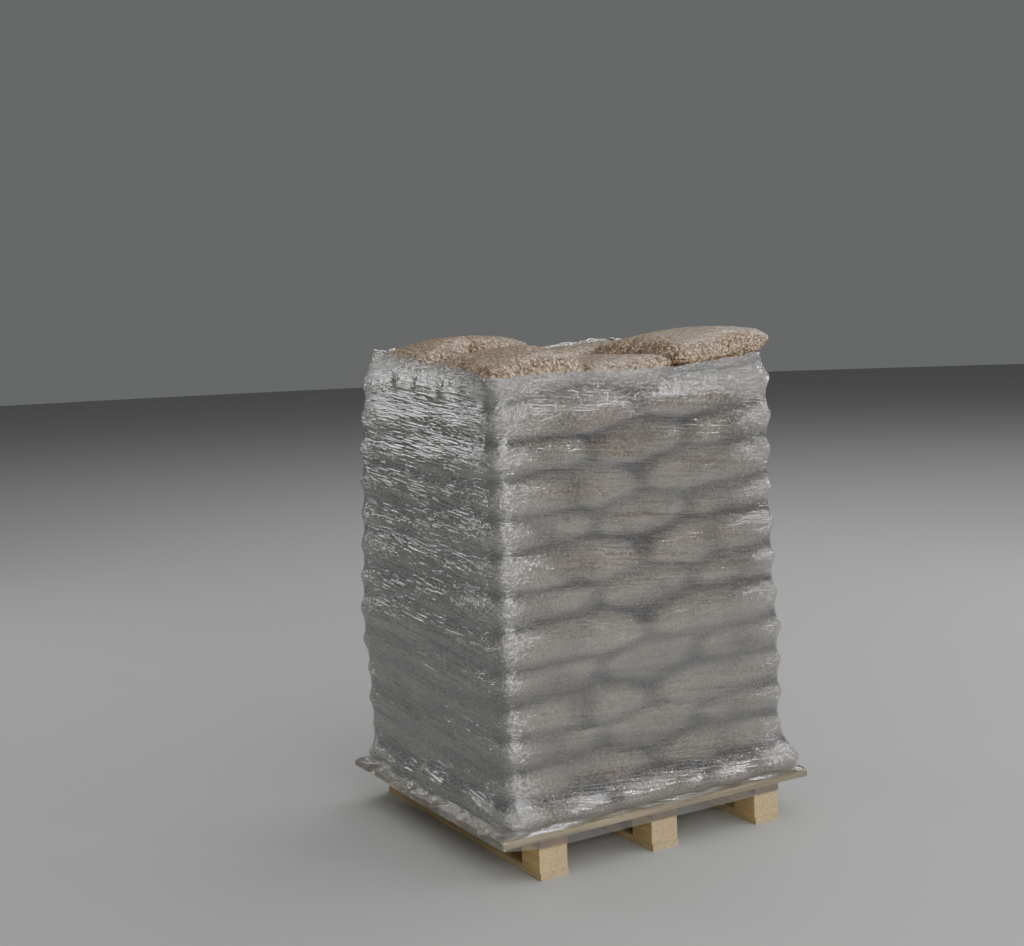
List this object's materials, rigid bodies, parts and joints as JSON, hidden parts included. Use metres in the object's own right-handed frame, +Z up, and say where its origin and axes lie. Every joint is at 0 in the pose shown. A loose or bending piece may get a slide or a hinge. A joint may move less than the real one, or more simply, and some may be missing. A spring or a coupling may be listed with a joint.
{
  "type": "pallet of sacks",
  "caption": "Wooden block pallet stacked with interlocked layers of plump clear sacks of wood pellets, wrapped in stretch film from the deck's edge up to the top layer.",
  "frame": {"origin": "on the floor under the centre of the pallet", "axes": "+X along the 1200 mm side towards the end where the layers climb, +Y across the 1000 mm side, away from the side where the top layer shows three sack ends, +Z up"},
  "size_m": [1.2032, 1.0032, 1.6596],
  "materials": {
    "pine": "rough-sawn pale pine, slightly grey",
    "stringer_pine": "rough-sawn pine, darker and pinker",
    "pellet_sack": "clear creased polythene over brown wood pellets",
    "stretch_film": "clear stretch film in several turns, hazy, with bright crinkles"
  },
  "bodies": {
    "root": {"skid_left": "pine", "skid_centre": "pine", "skid_right": "pine", "block_front_left": "pine", "block_middle_left": "pine", "block_back_left": "pine", "block_front_centre": "pine", "block_middle_centre": "pine", "block_back_centre": "pine", "block_front_right": "pine", "block_middle_right": "pine", "block_back_right": "pine", "stringer_left": "stringer_pine", "stringer_centre": "stringer_pine", "stringer_right": "stringer_pine", "deck_board_1": "pine", "deck_board_2": "pine", "deck_board_3": "pine", "deck_board_4": "pine", "deck_board_5": "pine", "deck_board_6": "pine", "deck_board_7": "pine", "sack_layer_01": "pellet_sack", "sack_layer_02": "pellet_sack", "sack_layer_03": "pellet_sack", "sack_layer_04": "pellet_sack", "sack_layer_05": "pellet_sack", "sack_layer_06": "pellet_sack", "sack_layer_07": "pellet_sack", "sack_layer_08": "pellet_sack", "sack_layer_09": "pellet_sack", "sack_layer_10": "pellet_sack", "sack_layer_11": "pellet_sack", "sack_layer_12": "pellet_sack", "sack_layer_13": "pellet_sack", "stretch_wrap": "stretch_film"}
  },
  "joints": []
}
